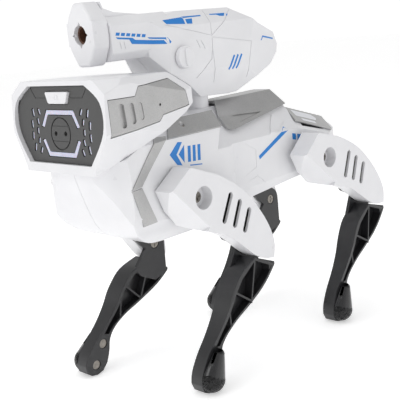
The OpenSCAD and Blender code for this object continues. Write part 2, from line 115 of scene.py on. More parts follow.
# ABS sprayed with silver lacquer: grey, with metal flakes whose glints are painted into the colour
def silverLacquer():
    material, shader, place = newMaterial("silver sprayed ABS", {
        "Metallic": 0.72, "Coat Weight": 0.25, "Coat Roughness": 0.25})
    tint = surface(material, shader, place, {
        "dark": "A9A7A6", "light": "BAB8B6", "patch": 14, "gloss": (0.34, 0.46),
        "grain": 0.5, "relief": 0.15})
    tree = material.node_tree
    # Flakes are about 0.05 mm across, drawn at 0.4 mm so that they show. Each flake's glint is painted
    # into the base colour: lighter flakes are painted glints, darker ones painted shade
    flakeGlints = addNode(tree, "ShaderNodeTexVoronoi", {"Scale": 1 / (0.4 * mm)}, {"Vector": place})
    # Painted glints: the flakes lighten and darken the base colour a little
    paintedGlints = addNode(tree, "ShaderNodeMix", {"data_type": "RGBA", "blend_type": "SOFT_LIGHT",
                                            0: 0.18},
                    {6: tint.outputs[2], 7: flakeGlints.outputs["Color"]})
    grey = addNode(tree, "ShaderNodeHueSaturation", {"Saturation": 0.15},
                   {"Color": paintedGlints.outputs[2]})
    tree.links.new(grey.outputs["Color"], shader.inputs["Base Color"])
    return material


# Dark grey ABS from a spark-eroded mould: matt, with a fine even grain
def faceAbs():
    material, shader, place = newMaterial("grey matt ABS", {"IOR": 1.53})
    surface(material, shader, place, {
        "dark": "424242", "light": "4E4E4E", "patch": 9, "gloss": (0.5, 0.62),
        "grain": 0.4, "relief": 0.35})
    return material


# Milky polycarbonate light guide: pale lilac, slightly deep
def milkyLens():
    material, shader, place = newMaterial("milky polycarbonate", {
        "IOR": 1.58, "Subsurface Weight": 0.15, "Subsurface Scale": 0.002})
    surface(material, shader, place, {
        "dark": "C2C2DA", "light": "D6D6E6", "patch": 5, "gloss": (0.3, 0.4),
        "grain": 0.5, "relief": 0.05})
    return material


# Black nylon, moulded: dark grey in the light, with a satin edge
def blackNylon():
    material, shader, place = newMaterial("black moulded nylon", {"IOR": 1.53})
    surface(material, shader, place, {
        "dark": "1D1D1F", "light": "2B2B2D", "patch": 10, "gloss": (0.24, 0.38),
        "grain": 0.7, "relief": 0.3})
    return material


# Black nylon from a polished mould: near black with sharp highlights
def polishedNylon():
    material, shader, place = newMaterial("polished black nylon", {
        "IOR": 1.53, "Coat Weight": 0.4, "Coat Roughness": 0.08})
    surface(material, shader, place, {
        "dark": "141416", "light": "202022", "patch": 7, "gloss": (0.14, 0.26),
        "grain": 1.5, "relief": 0.1})
    return material


# Nickel-plated steel screws: bright grey, brushed by the driver
def nickelSteel():
    material, shader, place = newMaterial("nickel plated steel", {"Metallic": 1.0})
    surface(material, shader, place, {
        "dark": "6C6863", "light": "A09B94", "patch": 1.5, "gloss": (0.22, 0.4),
        "grain": 0.3, "relief": 0.25})
    return material


# Blue ink, pad printed: flat and even, a little thinner in places
def blueInk():
    material, shader, place = newMaterial("blue pad print", {"IOR": 1.5})
    surface(material, shader, place, {
        "dark": "0E72C6", "light": "1B84D2", "patch": 6, "gloss": (0.3, 0.42),
        "grain": 0.4, "relief": 0.1})
    return material


# Pale ink on the silver plates
def paleInk():
    material, shader, place = newMaterial("pale pad print", {"IOR": 1.5})
    surface(material, shader, place, {
        "dark": "D9DADF", "light": "E6E7EB", "patch": 5, "gloss": (0.32, 0.44),
        "grain": 0.4, "relief": 0.1})
    return material


# Brown moulded tube inside the muzzle
def tubePlastic():
    material, shader, place = newMaterial("brown moulded tube", {"IOR": 1.5})
    surface(material, shader, place, {
        "dark": "4A3226", "light": "6E4B39", "patch": 3, "gloss": (0.4, 0.55),
        "grain": 0.5, "relief": 0.3})
    return material


# Heat-shrink sleeve on the cells: blue, slightly wrinkled
def shrinkSleeve():
    material, shader, place = newMaterial("blue heat shrink", {"IOR": 1.52})
    surface(material, shader, place, {
        "dark": "23419A", "light": "2F55B8", "patch": 4, "gloss": (0.2, 0.35),
        "grain": 2.0, "relief": 0.5})
    return material


# Green solder mask with copper tracks under it
def solderMask():
    material, shader, place = newMaterial("green solder mask", {"IOR": 1.5})
    tint = surface(material, shader, place, {
        "dark": "0C4A22", "light": "145C2E", "patch": 6, "gloss": (0.25, 0.35),
        "grain": 0.4, "relief": 0.2})
    tree = material.node_tree
    # Tracks run every 2 mm
    tracks = addNode(tree, "ShaderNodeTexWave", {"Scale": 1 / (math.tau * mm),
                                                 "Distortion": 2.0}, {"Vector": place})
    lines = addNode(tree, "ShaderNodeMapRange", {"From Min": 0.75, "From Max": 0.85},
                    {"Value": tracks.outputs["Fac"]})
    shown = addNode(tree, "ShaderNodeMix", {"data_type": "RGBA", 7: linear("2E7A3E")},
                    {0: lines.outputs["Result"], 6: tint.outputs[2]})
    tree.links.new(shown.outputs[2], shader.inputs["Base Color"])
    return material


# Grey acetal gear housings
def gearHousing():
    material, shader, place = newMaterial("grey acetal housing", {"IOR": 1.48})
    surface(material, shader, place, {
        "dark": "4A4A4D", "light": "5A5A5E", "patch": 8, "gloss": (0.4, 0.55),
        "grain": 0.5, "relief": 0.2})
    return material


# Pressed paper cone and basket
def paperCone():
    material, shader, place = newMaterial("black paper cone", {"IOR": 1.4})
    surface(material, shader, place, {
        "dark": "161617", "light": "242425", "patch": 3, "gloss": (0.7, 0.85),
        "grain": 0.4, "relief": 0.8})
    return material


# Pale studio paper
def studioPaper():
    material, shader, place = newMaterial("studio paper", {
        "Specular IOR Level": 0.1, "Emission Color": linear("FFFFFF"),
        "Emission Strength": 0.42})
    surface(material, shader, place, {
        "dark": "F6F6F6", "light": "FCFCFC", "patch": 120, "gloss": (0.85, 0.95),
        "grain": 3.0, "relief": 0.05})
    return material


finishes = {
    "white_shell": glossAbs(), "silver_trim": silverLacquer(), "face_grey": faceAbs(),
    "lens": milkyLens(), "black_leg": blackNylon(), "black_boot": polishedNylon(),
    "screw_steel": nickelSteel(), "battery": shrinkSleeve(), "board": solderMask(),
    "gearbox": gearHousing(), "speaker": paperCone(), "tube_brown": tubePlastic(),
}
printBlue = blueInk()
printPale = paleInk()
for part in frame["record"]["subparts"]:
    node = cadNodes[part["node"]]
    node.data.materials.clear()
    node.data.materials.append(finishes[part["material_slot"]])
print("materials on the CAD nodes")


# --- making meshes, in millimetres until finishPiece
def spot(axis, a, b, depth):
    return Vector({"x": (depth, a, b), "y": (a, depth, b), "z": (a, b, depth)}[axis])


# A smooth line through the points, ends included
def flow(points, steps=4):
    ends = [points[0]] + list(points) + [points[-1]]
    line = []
    for i in range(1, len(ends) - 2):
        before, here, there, after = [Vector(p) for p in ends[i - 1:i + 3]]
        for k in range(steps):
            t = k / steps
            line.append(0.5 * (2 * here + (there - before) * t
                               + (2 * before - 5 * here + 4 * there - after) * t * t
                               + (3 * here - before - 3 * there + after) * t ** 3))
    return [tuple(p) for p in line] + [tuple(points[-1])]


def mirrored(points):
    return list(points) + [(-a, b) for a, b in reversed(points)]


def prism(points, axis, low, high):
    bm = bmesh.new()
    cap = bm.faces.new([bm.verts.new(spot(axis, a, b, low)) for a, b in points])
    grown = bmesh.ops.extrude_face_region(bm, geom=[cap])
    moved = [v for v in grown["geom"] if isinstance(v, bmesh.types.BMVert)]
    bmesh.ops.translate(bm, verts=moved, vec=spot(axis, 0, 0, high - low))
    bmesh.ops.recalc_face_normals(bm, faces=bm.faces)
    return bm


def rod(radius, axis, low, high, at=(0, 0), segments=48):
    bm = bmesh.new()
    turn = {"x": ("Y", 90), "y": ("X", 90), "z": ("Z", 0)}[axis]
    bmesh.ops.create_cone(
        bm, cap_ends=True, segments=segments, radius1=radius, radius2=radius, depth=high - low,
        matrix=Matrix.Translation(spot(axis, at[0], at[1], (low + high) / 2))
        @ Matrix.Rotation(math.radians(turn[1]), 4, turn[0]))
    return bm


# A slot outline from a to b with round ends
def slotLine(a, b, radius):
    turn = math.atan2(b[1] - a[1], b[0] - a[0])
    angles = [math.radians(22.5 * k) for k in range(9)]
    quarter = math.pi / 2
    return ([(a[0] + radius * math.cos(v + turn + quarter),
              a[1] + radius * math.sin(v + turn + quarter)) for v in angles]
            + [(b[0] + radius * math.cos(v + turn - quarter),
                b[1] + radius * math.sin(v + turn - quarter)) for v in angles])


# A straight strip from a to b, for grooves and printed lines
def stripLine(a, b, width):
    along = (Vector(b) - Vector(a)).normalized() * width / 2
    side = Vector((-along.y, along.x))
    return [tuple(Vector(a) - along + side), tuple(Vector(a) - along - side),
            tuple(Vector(b) + along - side), tuple(Vector(b) + along + side)]


def outlineStrips(points, width, closed=True):
    ends = points[1:] + points[:1] if closed else points[1:]
    return [stripLine(a, b, width) for a, b in zip(points, ends)]


def gather(parts):
    whole = bmesh.new()
    for part in parts:
        scratch = bpy.data.meshes.new("scratch")
        part.to_mesh(scratch)
        part.free()
        whole.from_mesh(scratch)
        bpy.data.meshes.remove(scratch)
    return whole


def scratchObject(bm):
    mesh = bpy.data.meshes.new("scratch")
    bm.to_mesh(mesh)
    bm.free()
    obj = bpy.data.objects.new("scratch", mesh)
    bpy.context.scene.collection.objects.link(obj)
    return obj


def carve(body, tool, how="DIFFERENCE"):
    pair = [scratchObject(body), scratchObject(tool)]
    cut = pair[0].modifiers.new("carve", "BOOLEAN")
    cut.operation = how
    cut.solver = "EXACT"
    cut.use_self = True
    cut.object = pair[1]
    cutObject = pair[0].evaluated_get(bpy.context.evaluated_depsgraph_get())
    result = bmesh.new()
    result.from_mesh(cutObject.to_mesh())
    cutObject.to_mesh_clear()
    for obj in pair:
        mesh = obj.data
        bpy.data.objects.remove(obj)
        bpy.data.meshes.remove(mesh)
    bmesh.ops.remove_doubles(result, verts=result.verts, dist=0.002)
    bmesh.ops.dissolve_limit(result, angle_limit=math.radians(0.4), verts=result.verts,
                             edges=result.edges)
    return result


def crossed(forms):
    body = forms[0]
    for form in forms[1:]:
        body = carve(body, form, "INTERSECT")
    return body


# Cuts off what lies beyond the plane through three points, and closes the cut
def sliceOff(bm, a, b, c):
    a, b, c = Vector(a), Vector(b), Vector(c)
    made = bmesh.ops.bisect_plane(
        bm, geom=bm.verts[:] + bm.edges[:] + bm.faces[:], plane_co=a,
        plane_no=(b - a).cross(c - a).normalized(), clear_outer=True)
    rim = [e for e in made["geom_cut"] if isinstance(e, bmesh.types.BMEdge)]
    bmesh.ops.edgeloop_fill(bm, edges=rim)
    bmesh.ops.recalc_face_normals(bm, faces=bm.faces)


def roundEdges(bm, width, segments=3, sharper=20, pick=None):
    edges = [e for e in bm.edges if len(e.link_faces) == 2
             and e.calc_face_angle(0) > math.radians(sharper) and (pick is None or pick(e))]
    bmesh.ops.bevel(bm, geom=edges, offset=width, offset_type="OFFSET", segments=segments,
                    profile=0.5, affect="EDGES", clamp_overlap=True, material=-1)
    bmesh.ops.remove_doubles(bm, verts=bm.verts, dist=0.002)


def both(edge, test):
    return all(test(v.co) for v in edge.verts)


def moved(bm, matrix):
    bmesh.ops.transform(bm, matrix=matrix, verts=bm.verts)
    if matrix.to_3x3().determinant() < 0:
        bmesh.ops.reverse_faces(bm, faces=bm.faces)
    return bm


def sideways(side):
    return Matrix.Scale(side, 4, (1, 0, 0))


def finishPiece(name, bm, material, body, nodes=(), smooth=32):
    moved(bm, Matrix.Scale(mm, 4))
    mesh = bpy.data.meshes.new(name)
    bm.to_mesh(mesh)
    bm.free()
    piece = bpy.data.objects.new(name, mesh)
    bpy.context.scene.collection.objects.link(piece)
    mesh.materials.append(material)
    mesh.shade_smooth()
    mesh.set_sharp_from_angle(angle=math.radians(smooth))
    piece.modifiers.new("even shading", "WEIGHTED_NORMAL").keep_sharp = True
    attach(piece, body)
    if nodes:
        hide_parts(*nodes)
    return piece


# Ink on a piece: each outline is laid on the surface along a direction
def printOn(name, target, outlines, axis, side, material, body):
    lift, grid, start = 0.06, 2.5, {"x": 90, "z": 400}[axis]
    tree = BVHTree.FromObject(target, bpy.context.evaluated_depsgraph_get())
    away = spot(axis, 0, 0, side)
    bm = bmesh.new()
    for points in outlines:
        bm.faces.new([bm.verts.new(spot(axis, a, b, start * side)) for a, b in points])
    low = [min(v.co[i] for v in bm.verts) for i in range(3)]
    high = [max(v.co[i] for v in bm.verts) for i in range(3)]
    for i in [i for i in range(3) if away[i] == 0]:
        for k in range(1, int((high[i] - low[i]) / grid) + 1):
            at, across = Vector(), Vector()
            at[i] = low[i] + k * grid
            across[i] = 1
            bmesh.ops.bisect_plane(bm, geom=bm.verts[:] + bm.edges[:] + bm.faces[:],
                                   plane_co=at, plane_no=across)
    for v in bm.verts:
        hit = tree.ray_cast(v.co * mm, -away)[0]
        if hit is None:
            raise RuntimeError(f"{name} runs off its surface at {tuple(v.co)}")
        v.co = hit / mm + away * lift
    bmesh.ops.recalc_face_normals(bm, faces=bm.faces)
    if sum(f.normal.dot(away) for f in bm.faces) < 0:
        bmesh.ops.reverse_faces(bm, faces=bm.faces)
    bmesh.ops.solidify(bm, geom=bm.faces[:], thickness=0.05)
    bmesh.ops.recalc_face_normals(bm, faces=bm.faces)
    return finishPiece(name, bm, material, body)


# --- legs
legs = {
    "fl": {"side": 1, "hip": 0, "knee": 0},
    "fr": {"side": -1, "hip": -15, "knee": 4.2},
    "rl": {"side": 1, "hip": 6, "knee": -0.05},
    "rr": {"side": -1, "hip": -11.5, "knee": 2.72},
}
kneeAt = (48, -40)
thighLook = {
    "front": [(-12, -16.5), (-21, -5), (-26.5, 9), (-9, 21)],
    "top": [(-9, 21), (4, 16), (18, 9.8), (38.5, -5), (55, -26), (62.8, -44), (61.3, -56)],
    "bottom": [(61.3, -56), (52, -54.2), (43, -49.5), (31, -39.5), (20, -30.5), (3, -23),
               (-12, -16.5)],
    "block": [(-9, 21), (-26.5, 9), (-21, -5), (-12, -16.5), (3, -23), (18, 9.8)],
    "pocket": [(-8, 17.5), (-21.5, 8), (-8, -8.5), (1.5, -16), (19, -26), (42, -46),
               (58.5, -53), (59.5, -44), (52.5, -28.5), (36.5, -8), (16.5, 6)],
    "slots": [((24, -3.8), (16.3, -18.7)), ((32, -10.2), (25.6, -23.8)),
              ((40.2, -17.7), (34.7, -29.5))],
    "holeRadius": 7.4, "round": 1.3,
}
shinLook = {
    "front": [(43, -51.2), (27, -59.5), (18, -71), (12, -83), (4, -95), (-6, -107),
              (-12, -117), (-13.5, -124)],
    "sole": [(-11.5, -129), (-7.5, -131), (-2.5, -131), (2.5, -128.6)],
    "rear": [(6, -123), (7.5, -115), (8, -106), (12.5, -98), (22, -90), (35, -82.5),
             (52, -71.5), (62.5, -61.6)],
    "pocketFront": [(28.5, -62.5), (20, -73), (14.4, -84.5), (7, -95), (2.4, -102)],
    "pocketRear": [(6.4, -102.6), (10.6, -97.2), (20.6, -88.8), (33.6, -81), (50.8, -69.8),
                   (59, -61.6)],
    "pocketTop": (42.6, -53.4),
    "ribs": [((43, -53), (36, -81)), ((22, -70), (36, -80)), ((17, -76), (17, -92))],
    "screws": [(1.5, -109), (-4, -123.5)],
    "cheek": [(36, -26.1), (51.6, -31.2), (57.5, -40), (61, -62.5), (50, -68), (36, -64),
              (30, -59), (39.2, -43.6), (29, -37)],
    "round": 0.7,
}
bootLook = {"heel": ((50, -4.6, -121.8), 9), "top": ((51, 2.4, -106.8), 4.4), "face": 49.5}


def thighBody():
    look = thighLook
    line = flow(look["top"]) + flow(look["bottom"])[1:-1] + look["front"][:-1]
    body = carve(prism(line, "x", 42.3, 55.5), prism(look["block"], "x", 40.5, 43.3), "UNION")
    wedge = prism([(58, 0.6), (58, -25), (38, -25), (38, -10.5), (55.5, 0)], "y", -20, 40)
    moved(wedge, Matrix.Translation((0, -25, 9.4)) @ Matrix.Rotation(math.radians(-46.5), 4, "X"))
    body = carve(body, wedge)
    roundEdges(body, look["round"], 3, 24, lambda e: both(e, lambda c: c.x > 42.4))
    hollow = carve(prism(look["pocket"], "x", 39, 53.5),
                   gather([rod(look["holeRadius"] + 2, "x", 42.5, 60),
                           rod(4.6, "x", 42.5, 60, kneeAt)]))
    body = carve(body, hollow)
    holes = [prism(slotLine(a, b, 2.1), "x", 52, 57) for a, b in look["slots"]]
    body = carve(body, gather(holes + [rod(look["holeRadius"], "x", 47.5, 57)]))
    body = carve(body, gather([rod(3, "x", 39, 48), rod(2.05, "x", 39, 53, kneeAt)]))
    roundEdges(body, 0.5, 2, 60, lambda e: both(e, lambda c: c.x > 55.4))
    return body


def shinBody():
    look = shinLook
    line = flow(look["front"]) + look["sole"] + flow(look["rear"])
    pocket = flow(look["pocketFront"]) + flow(look["pocketRear"]) + [look["pocketTop"]]
    body = prism(line, "x", 39, 54.5)
    roundEdges(body, look["round"], 2, 50)
    # The outer side narrows towards the boot, which takes its place on the foot
    body = carve(body, prism([(54.7, -74), (bootLook["face"], -103.5), (bootLook["face"], -132),
                              (58, -132), (58, -74)], "y", -30, 70))
    body = carve(body, gather([prism(pocket, "x", 47.4, 56), prism(pocket, "x", 37, 46)]))
    ribs = [prism(stripLine(a, b, 1.3), "x", 39.3, depth) for (a, b), depth in zip(
        look["ribs"], (54.1, 54.1, 51.4))]
    body = carve(body, gather(ribs), "UNION")
    cheek = [rod(9.5, "x", 39, 41.6, kneeAt),
             rod(6.5, "x", 39, 41.6, (kneeAt[0] - 15, kneeAt[1] + 8)),
             prism(look["cheek"], "x", 39, 41.6)]
    body = carve(body, gather(cheek), "UNION")
    # The lip behind the thigh's lower edge
    lip = [(56.5, -58.9), (60.6, -60), (62.2, -59.4), (62.5, -61.2), (60.5, -63.2), (56.5, -64)]
    body = carve(body, prism(lip, "x", 39.4, 54.2), "UNION")
    holes = [rod(2, "x", 38, 43, kneeAt), rod(4.2, "x", 38, 40, kneeAt)]
    holes += [rod(3.4, "x", 38, 41, at) for at in look["screws"]]
    return carve(body, gather(holes))


def bootBody():
    bm = bmesh.new()
    for centre, radius in (bootLook["heel"], bootLook["top"]):
        bmesh.ops.create_uvsphere(bm, u_segments=40, v_segments=24, radius=radius - 0.03,
                                  matrix=Matrix.Translation(centre))
    made = bmesh.ops.convex_hull(bm, input=bm.verts)
    bmesh.ops.delete(bm, geom=made["geom_interior"] + made["geom_unused"], context="VERTS")
    face = bootLook["face"]
    sliceOff(bm, (face, 0, 0), (face, 0, 1), (face, 1, 0))
    # Flat on the sole and under the shin's side
    sliceOff(bm, (0, 0, -131), (0, 1, -131), (1, 0, -131))
    sliceOff(bm, (0, 0, -104), (1, 0, -104), (0, 1, -104))
    return bm


thighMaster, shinMaster, bootMaster = thighBody(), shinBody(), bootBody()
kneeShift = Vector((0, kneeAt[0], kneeAt[1]))
for name, leg in legs.items():
    low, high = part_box(f"hip_shaft_{name}")
    hip = (low + high) / 2 / mm
    stand = (sideways(leg["side"]) @ Matrix.Translation((0, hip.y, hip.z))
             @ Matrix.Rotation(math.radians(leg["hip"]), 4, "X"))
    bend = (stand @ Matrix.Translation(kneeShift)
            @ Matrix.Rotation(math.radians(leg["knee"]), 4, "X") @ Matrix.Translation(-kneeShift))
    finishPiece(f"thighCover_{name}", moved(thighMaster.copy(), stand), finishes["white_shell"],
                f"thigh_{name}", [f"thigh_shell_{name}"])
    finishPiece(f"lowerLeg_{name}", moved(shinMaster.copy(), bend), finishes["black_leg"],
                f"shin_{name}", [f"shin_{name}"])
    finishPiece(f"footBulb_{name}", moved(bootMaster.copy(), bend), finishes["black_boot"],
                f"shin_{name}", [f"boot_{name}"], 50)
    # The black lever that shows through the thigh's slots
    lever = prism([(12, -10), (20, 2), (36, -7), (50, -27), (45, -37), (31, -29), (12, -21)], "x",
                  49.4, 51)
    finishPiece(f"slotLever_{name}", moved(lever, stand), finishes["black_leg"],
                f"thigh_{name}")
print("legs")

# --- trunk
chestLook = {
    "side": flow([(-122, 159), (-120, 147), (-110, 119), (-97, 107.5), (-80, 103.5),
                  (-45, 102.5)]) + [(-25, 178.6), (-74, 178.6)],
    "top": [(0, 90), (0, -122)] + flow([(0, -122), (14, -121.5), (31, -117), (41, -110.5)])[1:]
    + [(39.4, -95), (38, -60), (38, 90)],
    "across": [(-1, 181), (27, 181), (39, 168.5)]
    + flow([(39, 168.5), (42, 145), (39, 120), (27, 103.5), (12, 102)])[1:] + [(-1, 102)],
    "round": 1.6,
}
rearLook = {
    "side": [(-44.7, 103.4), (-10, 112.5), (52, 118), (98, 121.5), (112, 134), (112, 147),
             (107, 152.6), (61, 167), (59, 178.6), (-24.7, 178.6)],
    "top": [(-1, -60), (37.5, -60), (37.5, -22), (35, -14), (36, 60), (34, 96), (26, 112.5),
            (-1, 112.5)],
    "across": [(-1, 181), (7, 179.4), (20, 170), (30.6, 158.4), (36.2, 154), (37, 126),
               (28, 103), (-1, 103)],
    "step": [(19.5, 150.6), (41, 166), (48, 160.4)],
    "pentagon": [(-6.9, 156), (8.7, 146.3), (7.6, 134.3), (-6.1, 130), (-15, 136)],
    "round": 1.3,
}


def trunkForm(look):
    return crossed([prism(look["side"], "x", 0.15, 50), prism(look["top"], "z", 90, 200),
                    prism(look["across"], "y", -140, 130)])


def trunkHalf(look, middle):
    body = trunkForm(look)
    roundEdges(body, look["round"], 3, 18, lambda e: both(e, lambda c: c.x > 0.3))
    hollow = trunkForm(look)
    moved(hollow, Matrix.Translation(Vector(middle) * 0.055 + Vector((-0.9, 0, 0)))
          @ Matrix.Scale(0.945, 4))
    return carve(body, hollow)


hipY = (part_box("hip_shaft_fl")[1].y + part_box("hip_shaft_fl")[0].y) / 2 / mm
hipZ = (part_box("hip_shaft_fl")[1].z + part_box("hip_shaft_fl")[0].z) / 2 / mm
chest = trunkHalf(chestLook, (0, -75, 140))
chest = carve(chest, gather([rod(3.1, "x", 20, 60, (hipY, hipZ)),
                             rod(1.5, "z", 160, 190, (34, -58))]))
rump = Matrix.Translation((0, 61, 167)) @ Matrix.Rotation(math.radians(-17.4), 4, "X")
rear = trunkHalf(rearLook, (0, 25, 143))
seat = moved(prism([(-1, 20), (60, 20), (60, -34), (19.4, 0), (-1, 0)], "y", 0, 60), rump)
rear = carve(rear, seat)
rear = carve(rear, gather([
    rod(3.1, "x", 20, 60, (-hipY, hipZ)), rod(8.05, "z", 150, 190, (0, -9)),
    prism([(-1, -4), (18, -4), (18, 46), (-1, 46)], "z", 100, 120),
    prism([(-1, 61.3), (8.1, 61.3), (8.1, 67.5), (-1, 67.5)], "z", 158, 170)]))
# Fine moulded lines on the flank
lines = outlineStrips(rearLook["pentagon"], 0.55) + outlineStrips(
    [(-4.5, 125), (8, 128.3), (18.8, 119.5)], 0.5, False)
rear = carve(rear, gather([prism(line, "x", 35.05, 40) for line in lines]))
# A raised three-cornered facet behind the saddle's tip
step = crossed([prism(rearLook["step"], "x", 15, 50), prism(rearLook["top"], "z", 90, 200),
                prism([(a + 0.6, b + 0.5) for a, b in rearLook["across"]], "y", -140, 130)])
rear = carve(rear, step, "UNION")
for side, word in ((1, "left"), (-1, "right")):
    for name, bm in (("chest", chest), ("rear", rear)):
        finishPiece(f"{name}Cover_{word}", moved(bm.copy(), sideways(side)),
                    finishes["white_shell"], "trunk", [f"{name}_shell_{word}"])
print("trunk shells")


# A CAD trim plate with softened edges
def softened(node, width, sharper=20):
    bm = bmesh.new()
    bm.from_mesh(cadNodes[node].data)
    moved(bm, Matrix.Scale(1 / mm, 4))
    bmesh.ops.remove_doubles(bm, verts=bm.verts, dist=0.002)
    bmesh.ops.dissolve_limit(bm, angle_limit=math.radians(0.4), verts=bm.verts, edges=bm.edges)
    roundEdges(bm, width, 2, sharper)
    return bm


finishPiece("saddlePlate", softened("saddle_cover", 0.3), finishes["silver_trim"], "trunk",
            ["saddle_cover"])
finishPiece("rumpPlate", softened("rump_plate", 0.5), finishes["silver_trim"], "trunk",
            ["rump_plate"])
for word in ("left", "right"):
    for node, width in (("chest_strip", 0.25), ("shoulder_plate", 0.4)):
        finishPiece(f"{node}Trim_{word}", softened(f"{node}_{word}", width),
                    finishes["silver_trim"], "trunk", [f"{node}_{word}"])
finishPiece("rumpCap", softened("rump_cap", 0.7, 40), finishes["black_leg"], "trunk",
            ["rump_cap"])
print("trunk trim")

# --- head
headLook = {
    "half": 47.5, "faceAt": (0, -126.7, 185.5), "faceTilt": -4.2,
    "face": [(28.7, 23.7), (42.4, 13.5), (44, -3.7), (31.3, -23.1)],
    "panel": [(-125.7, 200.5), (-104.8, 199.9), (-101.3, 205.3), (-68, 205.9), (-59.3, 198.2),
              (-55.8, 188.1), (-82, 185.7), (-85.6, 182.3), (-125.7, 178.9)],
    "seat": [(-126, 200.8), (-105, 200.2), (-101.5, 205.6), (-68, 206.2), (-59, 198.4),
             (-55.4, 187.8), (-82, 185.4), (-85.5, 182), (-126, 178.6)],
    "panelSlots": (-116, -108.2, -101.2), "round": 2.2,
}


def neckZ(y):
    return 159.3 + 0.403 * (y + 122)


# The head's outer form, drawn in by t
def headForm(t):
    half = headLook["half"] - t
    side = [(-131.6, 156.6 + t), (-126.9, 212.4 - t), (-64, 209.5 - t), (-50 - 2 * t, 198.5 - t),
            (-50 - 2 * t, neckZ(-50) + 1.2 * t), (-122, neckZ(-122) + 1.2 * t)]
    top = mirrored([(half, -140), (half, -110), (42 - t, -60), (36 - t, -45)])
    across = mirrored([(44 - t, 213), (half, 208), (half, 181), (35.5 - t, 160), (33, 150)])
    bm = crossed([prism(side, "x", -60, 60), prism(top, "z", 150, 220),
                  prism(across, "y", -140, -45)])
    for flip in (1, -1):
        for a, b, c in (((36, -129, 212.2), (46.6, -129.9, 203.8), (46.8, -110, 210.9)),
                        ((31, -62, 209.5), (46, -110, 210.5), (42, -61, 197.5))):
            normal = (Vector(b) - Vector(a)).cross(Vector(c) - Vector(a)).normalized()
            points = [Vector(p) - normal * t for p in (a, b, c)]
            points = [Vector((p.x * flip, p.y, p.z)) for p in points]
            sliceOff(bm, *(points if flip > 0 else reversed(points)))
    return bm


faceFrame = (Matrix.Translation(headLook["faceAt"])
             @ Matrix.Rotation(math.radians(headLook["faceTilt"]), 4, "X"))
head = headForm(0)
roundEdges(head, headLook["round"], 4, 12)
# Hollow with a thick front for the face plate and a closed back
head = carve(head, crossed([moved(headForm(2), Matrix.Translation((0, 6.4, 0))), headForm(2)]))
faceLine = headLook["face"][:1] + flow(headLook["face"], 5)[1:-1] + headLook["face"][-1:]
faceHole = [(a * 1.008, b * 1.008) for a, b in faceLine]
head = carve(head, moved(prism(mirrored(faceHole), "y", -8, 12), faceFrame))
head = carve(head, gather([moved(prism(headLook["seat"], "x", 30, 60), sideways(side))
                           for side in (1, -1)]))
finishPiece("headCover", head, finishes["white_shell"], "trunk", ["head_shell"])

panel = carve(headForm(0), prism(headLook["panel"], "x", 30, 60), "INTERSECT")
roundEdges(panel, 0.45, 2, 12, lambda e: both(e, lambda c: c.x > 36))
panel = carve(panel, headForm(2.3))
panelSlots = [prism(slotLine((y - 0.4, 195.4 - (y + 116) * 0.08),
                             (y + 0.4, 184.8 + (y + 116) * 0.17), 1.9), "x", 45.9, 60)
              for y in headLook["panelSlots"]]
panel = carve(panel, gather(panelSlots + [rod(0.9, "x", 42.5, 60, (-84, 192), 20)]))
for side, word in ((1, "left"), (-1, "right")):
    finishPiece(f"headPanel_{word}", moved(panel.copy(), sideways(side)),
                finishes["silver_trim"], "trunk", [f"head_panel_{word}"])
print("head")

# --- face
faceLook = {
    "bar": [(13.6, 14.2), (19.4, 4.4), (17, 3.6), (12.1, 11.4), (-12.1, 11.4), (-17, 3.6),
            (-19.4, 4.4), (-13.6, 14.2)],
    "barTip": 17, "barGap": 0.35, "badgeAt": (0, -5), "badgeRadius": 10.2, "grooveWidth": 0.9,
    "button": [(-11.8, 20.3), (11.8, 20.3), (8.8, 13.1), (-8.8, 13.1)],
    "buttonHole": [(-12.3, 20.8), (12.3, 20.8), (9.2, 12.6), (-9.2, 12.6)],
    "inset": [(-30, 24.5), (-24, 16.6), (24, 16.6), (30, 24.5)],
    "studColumns": [{"rows": 4, "x": 26.5, "top": 7.5, "pitch": 7.2, "long": 3.4},
                    {"rows": 5, "x": 20.5, "top": 8.2, "pitch": 6, "long": 2.4}],
    "studBulge": 3.2, "studLean": 0.28,
}


# Place, length and lean of each stud, down the two curved columns
def studSpots():
    spots = []
    for column in faceLook["studColumns"]:
        rows = column["rows"]
        for row in range(rows):
            fromMiddle = row - (rows - 1) / 2
            bulge = faceLook["studBulge"] * math.cos(math.pi * fromMiddle / rows)
            spots.append((column["x"] + bulge, column["top"] - column["pitch"] * row,
                          column["long"], fromMiddle * faceLook["studLean"]))
    return spots


# Slots, or the lights in them, on both sides of the face
def studPrisms(radius, shift, low, high):
    parts = []
    for x, z, long, lean in studSpots():
        for side in (1, -1):
            ends = ((side * (x + lean) + shift, z - long / 2),
                    (side * (x - lean) + shift, z + long / 2))
            parts.append(prism(slotLine(*ends, radius), "y", low, high))
    return parts


# The upper and lower light bar, or their openings, wider by gap
def barPrisms(gap, low, high):
    cx, cz = faceLook["badgeAt"]
    line = []
    for x, z in faceLook["bar"]:
        outward = -1 if abs(x) == faceLook["barTip"] else 1
        line.append((x + math.copysign(gap, x) * outward, z + (gap if z > 12 else -gap)))
    return [prism([(cx + x * flip, cz + z * flip) for x, z in line], "y", low, high)
            for flip in (1, -1)]


cx, cz = faceLook["badgeAt"]
radius = faceLook["badgeRadius"]
plate = prism(mirrored(faceLine), "y", 0, 2.5)
roundEdges(plate, 0.6, 3, 20, lambda e: both(e, lambda c: c.y < 0.1))
plate = carve(plate, gather(studPrisms(1.15, -0.2, -1, 3) + barPrisms(faceLook["barGap"], -1, 3)
                            + [prism(faceLook["buttonHole"], "y", -1, 3)]))
